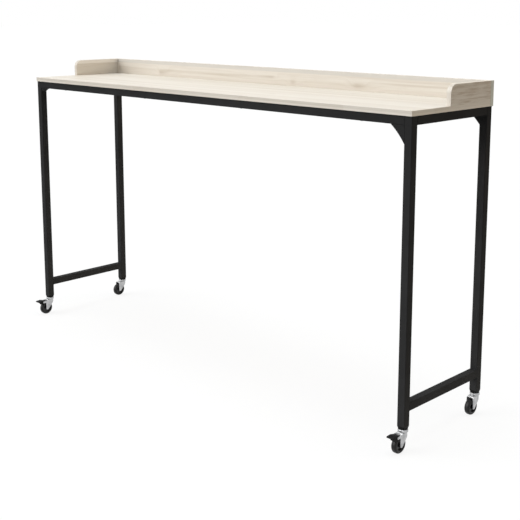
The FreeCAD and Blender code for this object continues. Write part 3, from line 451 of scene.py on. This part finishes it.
# %% The laminate
STRIPE_WEIGHT = 0.30
RING_WEIGHT = 0.15
STREAK_WEIGHT = 0.20
PORE_WEIGHT = 0.16
LINE_WEIGHT = 0.60
KNOT_SHARE = 0.36
SPOT_FALLOFF = 0.9
LIFT_FALLOFF = 0.16
SATIN = 0.42
PORE_DULLS = 0.12
STREAK_DULLS = 0.05
PORE_DENT = {"Strength": 0.25, "Distance": 0.0002}


def laminate(name, grain, band, seed, blotch_share, knots=(), lines=(), strip=None):
    """Pale printed wood whose grain runs along a board."""
    material = bpy.data.materials.new(name)
    material.use_nodes = True
    tree = material.node_tree
    shader = tree.nodes["Principled BSDF"]
    run = run_coordinates(tree, *grain)
    stripes = print_layer(tree, run, seed, **STRIPES)
    rings = ring_lines(tree, run, spots(tree, run, knots, LIFT_FALLOFF), seed + 3)
    streaks = print_layer(tree, run, seed + 5, **STREAKS)
    pores = print_layer(tree, run, seed + 7, **PORES)
    tan = weighed_sum(tree, (
        (stripes, STRIPE_WEIGHT), (rings, RING_WEIGHT), (streaks, STREAK_WEIGHT), (pores, PORE_WEIGHT),
        (spots(tree, run, lines, SPOT_FALLOFF), LINE_WEIGHT)))
    colour = mix_colour(tree, tan, PALE_WOOD, TAN_WOOD)
    off_the_ends = math_node(tree, "SUBTRACT", 1.0, faces_along(tree, grain[1]))
    blotches = math_node(tree, "MULTIPLY", print_layer(tree, run, seed + 9, **BLOTCHES), off_the_ends)
    colour = mix_colour(tree, math_node(tree, "MULTIPLY", blotches, blotch_share), colour, BARE_BROWN)
    dark_knots = math_node(tree, "MULTIPLY", spots(tree, run, knots, SPOT_FALLOFF), KNOT_SHARE)
    colour = mix_colour(tree, dark_knots, colour, KNOT_BROWN)
    if strip:
        colour = add_strip(tree, colour, *strip)
    tree.links.new(add_band(tree, colour, *band), shader.inputs["Base Color"])
    dulled = weighed_sum(tree, ((pores, PORE_DULLS), (streaks, STREAK_DULLS)))
    tree.links.new(math_node(tree, "ADD", dulled, SATIN), shader.inputs["Roughness"])
    pressed = add_node(tree, "ShaderNodeBump", {**PORE_DENT, "Height": pores}, invert=True)
    tree.links.new(pressed.outputs[0], shader.inputs["Normal"])
    return material


print("the pores take up to", PORE_DULLS, "off the gloss")

# %% [markdown]
# Each board has its own print, so that no two look alike. The grain of the worktop and the back panel runs
# along the desk, and that of the side panels from front to back.

# %% One laminate for each board
# A grain is the axes along, across and into the board, the axis of its ends, and the axes on these.
WORKTOP_GRAIN = ("XYZ", "X", "YXZ")
BACK_PANEL_GRAIN = ("XZY", "X", "ZYX")
SIDE_PANEL_GRAIN = ("YZX", "Y", "ZXY")
BOARD_BAND = ("XY", BOARD_BAND_UPPER, BOARD_BAND_LOWER)
PANEL_BAND = ("X", PANEL_END_BAND, PANEL_END_BAND)
SIDE_BAND = ("Z", GALLERY_BAND, GALLERY_BAND)
INNER_STRIP = (0.92, 0.88, 0.83, 1)
BACK_STRIP = (0.60, 0.57, 0.52, 1)

wood = {
    "top_board": laminate(
        "worktop_laminate", WORKTOP_GRAIN, BOARD_BAND, seed=2.0, blotch_share=0.03,
        knots=WORKTOP_KNOTS),
    "back_panel": laminate(
        "back_panel_laminate", BACK_PANEL_GRAIN, PANEL_BAND, seed=11.0, blotch_share=0.08,
        knots=BACK_PANEL_KNOTS, lines=BACK_PANEL_LINES, strip=("Y", -1, BACK_STRIP)),
    "side_panel_left": laminate(
        "left_panel_laminate", SIDE_PANEL_GRAIN, SIDE_BAND, seed=52.0, blotch_share=0.04,
        strip=("X", 1, INNER_STRIP)),
    "side_panel_right": laminate(
        "right_panel_laminate", SIDE_PANEL_GRAIN, SIDE_BAND, seed=39.0, blotch_share=0.75,
        strip=("X", -1, INNER_STRIP)),
}
print("laminates:", [item.name for item in wood.values()])

# %% [markdown]
# ## Black powder coat
# The tubes are sprayed with dry powder and baked. The coat is black, with a faint sheen, and slightly
# pebbled like the skin of an orange. A plain black would look like a hole, so the pebbles go into both the
# bump and the gloss. The gloss stays low: a stronger one would mirror the white studio and turn the shaded
# faces grey, which they aren't in the photograph.

# %% The powder coat
FINE_RANGE = (0.25, 0.75)
PATCH_RANGE = (0.3, 0.7)
PATCH_DETAIL = 4.0


def surface_noise(tree, scale, detail=3.0, roughness=0.55):
    """Even noise with so many features per metre."""
    place = add_node(tree, "ShaderNodeTexCoord").outputs["Object"]
    return add_node(tree, "ShaderNodeTexNoise", {
        "Vector": place, "Scale": scale, "Detail": detail, "Roughness": roughness}).outputs["Fac"]


def textured(name, dark, light, rough, bump, scale, patches, metallic=0.0, specular=0.5):
    """A finish whose colour varies in patches, and whose gloss and bump vary with a fine texture."""
    material = bpy.data.materials.new(name)
    material.use_nodes = True
    tree = material.node_tree
    shader = tree.nodes["Principled BSDF"]
    shader.inputs["Metallic"].default_value = metallic
    shader.inputs["Specular IOR Level"].default_value = specular
    broad = ramp(tree, surface_noise(tree, patches, PATCH_DETAIL), *PATCH_RANGE)
    tree.links.new(mix_colour(tree, broad, (*dark, 1), (*light, 1)), shader.inputs["Base Color"])
    fine = surface_noise(tree, scale)
    gloss = add_node(tree, "ShaderNodeMapRange", {
        0: fine, 1: FINE_RANGE[0], 2: FINE_RANGE[1], 3: rough[0], 4: rough[1]})
    tree.links.new(gloss.outputs[0], shader.inputs["Roughness"])
    strength, depth = bump
    pebbles = add_node(tree, "ShaderNodeBump", {"Strength": strength, "Distance": depth, "Height": fine})
    tree.links.new(pebbles.outputs[0], shader.inputs["Normal"])
    return material


powder_coat = textured(
    "satin_black_powder_coat", dark=(0.0262, 0.0262, 0.0264), light=(0.0324, 0.0324, 0.0328),
    rough=(0.60, 0.76), bump=(0.12, 0.0003), scale=1100, patches=9, specular=0.02)
print("finish:", powder_coat.name)

# %% [markdown]
# ## Caster finishes
# The forks, caps, axles and screws are zinc plated: a pale metal with a faint cloudiness, because the
# crystals of the plating scatter the light. The plugs and pedals are grained black plastic, the wheel
# centres a smoother one, and the treads a softer black that picks up a little dust. The washers of the
# swivels are plain nylon.

# %% Metal, plastic and tread
zinc = textured(
    "dull_zinc_plate", dark=(0.38, 0.385, 0.39), light=(0.54, 0.54, 0.545),
    rough=(0.30, 0.48), bump=(0.06, 0.0001), scale=420, patches=60, metallic=1.0)
black_plastic = textured(
    "grained_black_plastic", dark=(0.008, 0.008, 0.008), light=(0.012, 0.012, 0.012),
    rough=(0.38, 0.56), bump=(0.25, 0.0002), scale=2400, patches=40, specular=0.05)
wheel_plastic = textured(
    "wheel_centre_plastic", dark=(0.012, 0.012, 0.013), light=(0.018, 0.018, 0.019),
    rough=(0.26, 0.36), bump=(0.06, 0.0001), scale=900, patches=50, specular=0.35)
tread = textured(
    "dusty_tread", dark=(0.009, 0.009, 0.0095), light=(0.018, 0.0175, 0.017),
    rough=(0.30, 0.46), bump=(0.12, 0.0002), scale=1600, patches=90, specular=0.18)
nylon = textured(
    "natural_nylon", dark=(0.74, 0.73, 0.69), light=(0.80, 0.79, 0.75),
    rough=(0.40, 0.50), bump=(0.05, 0.0001), scale=900, patches=60)
print("finishes:", [item.name for item in (zinc, black_plastic, wheel_plastic, tread, nylon)])

# %% [markdown]
# The dowels inside the gallery are turned from beech, whose grain is short pinkish flecks. They are small
# and hidden, so fine patches of two pinkish browns are enough.

# %% Beech
beech = textured(
    "turned_beech", dark=(0.52, 0.33, 0.19), light=(0.62, 0.43, 0.27),
    rough=(0.50, 0.65), bump=(0.20, 0.0002), scale=1400, patches=220)
print("finish:", beech.name)

# %% [markdown]
# ## Put the finishes on
# The workshop's list says which stock each solid is made of. Each stock has one finish, and the boards
# have one each, because their grain runs differently.

# %% Give each solid its finish
FINISH_OF = {
    "black_powder_coat": powder_coat,
    "zinc_plate": zinc,
    "nylon": nylon,
    "beech": beech,
    "black_plastic": black_plastic,
    "wheel_plastic": wheel_plastic,
    "tread_rubber": tread,
}
for row in frame["record"]["subparts"]:
    solid = frame["nodes"][row["node"]]
    solid.data.materials.clear()
    solid.data.materials.append(wood.get(row["node"]) or FINISH_OF[row["material_slot"]])

# %% [markdown]
# ## Weld beads
# The side rails and stretchers are welded to the legs, and so are the corner plates. On the flush outer
# faces the weld is ground flat, but in the inner corners a narrow rippled bead stays under the coat. A
# bevelled curve would give an even roll, so each bead is laid ring by ring here, which leaves a ripple
# for each dab of the torch.

# %% Lay one bead
BEAD_RIPPLE = 0.0022
BEAD_SUNK = 0.0003
BEAD_VALLEY = 0.78
BEAD_RISE = 0.22
BEAD_TIP = 0.25
RINGS_PER_RIPPLE = 6
LEAST_RINGS = 12
BEAD_ARC = [math.radians(turn) for turn in (0, 18, 36, 54, 72, 90)]


def bead_reach(along, length, size):
    """How far a bead stands out of its corner, at a share of its length. It thins out at its tips."""
    ripple = abs(math.sin(math.pi * along * length / BEAD_RIPPLE))
    ends = min(1.0, min(along, 1 - along) * length / size + BEAD_TIP)
    return size * (BEAD_VALLEY + BEAD_RISE * ripple) * math.sqrt(ends)


def lay_bead(mesh, start, stop, first_face, second_face, size):
    """A bead in the corner between two faces. The directions lie in the faces, away from the corner."""
    start, stop = Vector(start), Vector(stop)
    first_face, second_face = Vector(first_face), Vector(second_face)
    length = (stop - start).length
    count = max(LEAST_RINGS, round(length / BEAD_RIPPLE) * RINGS_PER_RIPPLE)
    rings = []
    for i in range(count + 1):
        reach = bead_reach(i / count, length, size)
        corner = start.lerp(stop, i / count) - (first_face + second_face) * BEAD_SUNK
        ring = [mesh.verts.new(corner)]
        for turn in BEAD_ARC:
            way = first_face * math.cos(turn) + second_face * math.sin(turn)
            ring.append(mesh.verts.new(corner + way * reach))
        rings.append(ring)
    for ring, following in zip(rings, rings[1:]):
        for i in range(len(ring)):
            after = (i + 1) % len(ring)
            mesh.faces.new((ring[i], ring[after], following[after], following[i]))
    mesh.faces.new(rings[0])
    mesh.faces.new(rings[-1])


print("a ripple every", round(1000 * BEAD_RIPPLE, 1), "mm")

# %% [markdown]
# A mesh in the making becomes a piece of the desk in the same few steps each time: its faces are turned
# outwards, its round parts are shaded smooth while its edges stay sharp, and it is tied to the frame.

# %% Make a piece of a mesh
SHARP_EDGE = math.radians(40)


def finish_mesh(mesh, name, finish):
    """Turns a mesh in the making into a piece that rides on the frame."""
    bmesh.ops.recalc_face_normals(mesh, faces=mesh.faces)
    data = bpy.data.meshes.new(name)
    mesh.to_mesh(data)
    mesh.free()
    data.materials.append(finish)
    data.shade_smooth()
    data.set_sharp_from_angle(angle=SHARP_EDGE)
    piece = bpy.data.objects.new(name, data)
    scene.collection.objects.link(piece)
    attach(piece, "frame")
    return piece


print("edges over", round(math.degrees(SHARP_EDGE)), "degrees stay sharp")

# %% [markdown]
# The corners to weld come from the boxes of the tubes and plates: the ends of a stretcher are where it
# meets the legs, and the underside of a rail is where its corner plate hangs. The plates at the left end
# are left out, because the next step puts braces in their place.

# %% Find the corners and weld them
TUBE_ROUND = 0.002
TUBE_BEAD = 0.0024
PLATE_BEAD = 0.0016

welds = bmesh.new()
for tube, sides in (("stretcher", (-1, 1)), ("side_rail", (-1,))):
    for end in ("left", "right"):
        low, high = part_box(f"{tube}_{end}")
        for y, inward in ((low[1], 1), (high[1], -1)):
            for side in sides:
                z = high[2] if side > 0 else low[2]
                lay_bead(welds, (low[0] + TUBE_ROUND, y, z), (high[0] - TUBE_ROUND, y, z),
                         (0, 0, side), (0, inward, 0), TUBE_BEAD)
for depth, inward in (("front", 1), ("back", -1)):
    low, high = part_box(f"gusset_{depth}_right")
    face = high[1] if inward > 0 else low[1]
    lay_bead(welds, (high[0], face, low[2]), (high[0], face, high[2]),
             (-1, 0, 0), (0, inward, 0), PLATE_BEAD)
    lay_bead(welds, (high[0], face, high[2]), (low[0], face, high[2]),
             (0, 0, -1), (0, inward, 0), PLATE_BEAD)
frame_welds = finish_mesh(welds, "frame_welds", powder_coat)
print("welds:", len(frame_welds.data.polygons), "faces")

# %% [markdown]
# ## Braces at the left end
# In the photograph a small brace fills the corner between the left front leg and the front rail. It shows
# past the leg, so it is about as deep as the tubes. The solids have thin plates there, flush with the
# outer faces, which would only show in front of the leg. So one piece with a brace in each corner stands
# for them. A brace is an outline, with a slightly hollow slope, that is drawn out from near the outer
# face of the leg to near the inner one. Its welds are ground flat.

# %% Fill the two corners
BRACE_WIDTH = 0.030
BRACE_DROP = 0.0145
BRACE_HOLLOW = 0.0013
BRACE_STEPS = 8

tip = Vector((BRACE_WIDTH, 0))
foot = Vector((0, -BRACE_DROP))
hollow = Vector((-BRACE_DROP, BRACE_WIDTH)).normalized() * BRACE_HOLLOW
outline = [Vector((0, 0))]
for i in range(BRACE_STEPS + 1):
    along = i / BRACE_STEPS
    outline.append(tip.lerp(foot, along) + hollow * math.sin(math.pi * along))
braces = bmesh.new()
for depth in ("front", "back"):
    plate_low, plate_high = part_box(f"gusset_{depth}_left")
    leg_low, leg_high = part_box(f"leg_{depth}_left")
    caps = []
    for y in (leg_low[1] + TUBE_ROUND, leg_high[1] - TUBE_ROUND):
        caps.append([braces.verts.new((plate_low[0] + x, y, plate_high[2] + z)) for x, z in outline])
    for cap in caps:
        braces.faces.new(cap)
    for i in range(len(outline)):
        after = (i + 1) % len(outline)
        braces.faces.new((caps[0][i], caps[0][after], caps[1][after], caps[1][i]))
left_braces = finish_mesh(braces, "left_corner_braces", powder_coat)
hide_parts("gusset_front_left", "gusset_back_left")
print("braces:", len(left_braces.data.polygons), "faces")

# %% [markdown]
# ## Screws and bolts
# The solids of the screws have plain heads. A real head has a recess for the driver: a cross in the
# screws and a hexagon in the bolts. Cutting it out with a Boolean would leave a ragged mesh, so each
# fastener is a stack of rings from its tip to the bottom of its recess. All rings have as many points,
# and the outline of the recess is only a matter of how far each point is from the axis.

# %% Outlines of the recesses
CROSS_ARM = 0.24
NEARLY_NONE = 1e-6


def round_outline(turn):
    """A circle of radius 1."""
    return 1.0


def cross_outline(turn):
    """A cross whose arms reach 1 and are about a quarter as wide as long."""
    arms = []
    for along, across in ((math.cos(turn), math.sin(turn)), (math.sin(turn), math.cos(turn))):
        arms.append(min(1 / max(abs(along), NEARLY_NONE), CROSS_ARM / max(abs(across), NEARLY_NONE)))
    return max(arms)


def hexagon_outline(turn):
    """A hexagon whose flats are 1 from its middle."""
    return 1 / math.cos((turn + math.pi / 6) % (math.pi / 3) - math.pi / 6)


print("the corners of the hexagon reach", round(hexagon_outline(math.pi / 6), 3))

# %% [markdown]
# A ring is an outline, a radius and a height. The rings are joined to their neighbours by bands of faces,
# and the first and the last one are closed, so each fastener is a closed body.

# %% Stack the rings
RING_POINTS = 48


def stack_rings(mesh, rings, place):
    """A closed body from rings of outline, radius and height, placed by a matrix."""
    loops = []
    for outline, radius, height in rings:
        loop = []
        for i in range(RING_POINTS):
            turn = 2 * math.pi * i / RING_POINTS
            reach = radius * outline(turn)
            point = Vector((reach * math.cos(turn), reach * math.sin(turn), height))
            loop.append(mesh.verts.new(place @ point))
        loops.append(loop)
    for loop, following in zip(loops, loops[1:]):
        for i in range(RING_POINTS):
            after = (i + 1) % RING_POINTS
            mesh.faces.new((loop[i], loop[after], following[after], following[i]))
    mesh.faces.new(loops[0])
    mesh.faces.new(loops[-1])


print("rings of", RING_POINTS, "points")

# %% [markdown]
# Each kind of fastener is one mesh with all its copies in it. They stand far apart, so the points of one
# copy are those close to one another. Distances along the shank count less, because it is long and thin.

# %% Find the copies of a fastener
COPY_REACH = 0.012
SHANK_SCALE = 0.2


def copies_of(node, axis):
    """The lowest and highest corner of each fastener in a mesh. The shanks lie along axis 0, 1 or 2."""
    copies = []
    for vertex in frame["nodes"][node].data.vertices:
        for points in copies:
            apart = vertex.co - points[0]
            apart[axis] *= SHANK_SCALE
            if apart.length < COPY_REACH:
                points.append(vertex.co)
                break
        else:
            copies.append([vertex.co])
    boxes = []
    for points in copies:
        low = Vector([min(point[i] for point in points) for i in range(3)])
        high = Vector([max(point[i] for point in points) for i in range(3)])
        boxes.append((low, high))
    return boxes


print(len(copies_of("worktop_screws", 2)), "screws under the worktop")

# %% [markdown]
# The heights of the rings go along the way that the fastener is driven, from 0 at the top of its head. The
# screws of the back panel are countersunk and lie flush, those under the rails have pan heads, and the
# bolts inside the rails have low domed heads.

# %% Shapes of the fasteners
PANEL_SCREW = (
    (round_outline, 0.0003, 0.0450), (round_outline, 0.0025, 0.0425), (round_outline, 0.0025, 0.0020),
    (round_outline, 0.0045, 0.0002), (round_outline, 0.0044, 0.0000),
    (cross_outline, 0.0027, 0.0000), (cross_outline, 0.0016, 0.0017),
)
PAN_SCREW = (
    (round_outline, 0.0003, 0.0374), (round_outline, 0.0020, 0.0349), (round_outline, 0.0020, 0.0024),
    (round_outline, 0.0040, 0.0024), (round_outline, 0.0040, 0.0012), (round_outline, 0.0037, 0.0005),
    (round_outline, 0.0030, 0.0001), (cross_outline, 0.0021, 0.0000), (cross_outline, 0.0012, 0.0015),
)
BUTTON_BOLT = (
    (round_outline, 0.0030, 0.0102), (round_outline, 0.0030, 0.0032), (round_outline, 0.00525, 0.0032),
    (round_outline, 0.00525, 0.0026), (round_outline, 0.0048, 0.0014), (round_outline, 0.0040, 0.0006),
    (round_outline, 0.0028, 0.0001), (hexagon_outline, 0.0020, 0.0000), (hexagon_outline, 0.0019, 0.0018),
)
for rings in (PANEL_SCREW, PAN_SCREW, BUTTON_BOLT):
    print("a fastener of", len(rings), "rings,", round(1000 * rings[0][2], 1), "mm long")

# %% [markdown]
# The panel's screws are driven from behind and the worktop's from below. The bolts of the long rails have
# their heads towards the middle of the desk, so those of the front rail are driven forwards and those of
# the back rail backwards.

# %% Make the fasteners
FORWARDS = (0, -1, 0)
BACKWARDS = (0, 1, 0)
UPWARDS = (0, 0, 1)


def from_behind(low, high):
    """Where the head of a fastener lies that is driven from behind, and which way it points."""
    return high[1], FORWARDS


def from_below(low, high):
    """The same for a fastener that is driven up."""
    return low[2], UPWARDS


def from_inside(low, high):
    """The same for a fastener that is driven away from the middle of the desk."""
    if high[1] < 0:
        return high[1], FORWARDS
    return low[1], BACKWARDS


def fastener_piece(name, node, axis, rings, head_and_aim):
    """One piece with a fastener for each copy in the mesh that it stands for."""
    mesh = bmesh.new()
    copies = copies_of(node, axis)
    for low, high in copies:
        head, aim = head_and_aim(low, high)
        centre = (low + high) / 2
        centre[axis] = head
        turned = Vector(aim).to_track_quat("Z", "Y").to_matrix().to_4x4()
        stack_rings(mesh, rings, Matrix.Translation(centre) @ turned)
    piece = finish_mesh(mesh, name, zinc)
    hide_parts(node)
    print(name, len(copies))


fastener_piece("panel_screws_with_cross_recess", "back_panel_screws", 1, PANEL_SCREW, from_behind)
fastener_piece("pan_head_screws_under_rails", "worktop_screws", 2, PAN_SCREW, from_below)
fastener_piece("button_head_bolts_in_rails", "rail_bolts", 1, BUTTON_BOLT, from_inside)
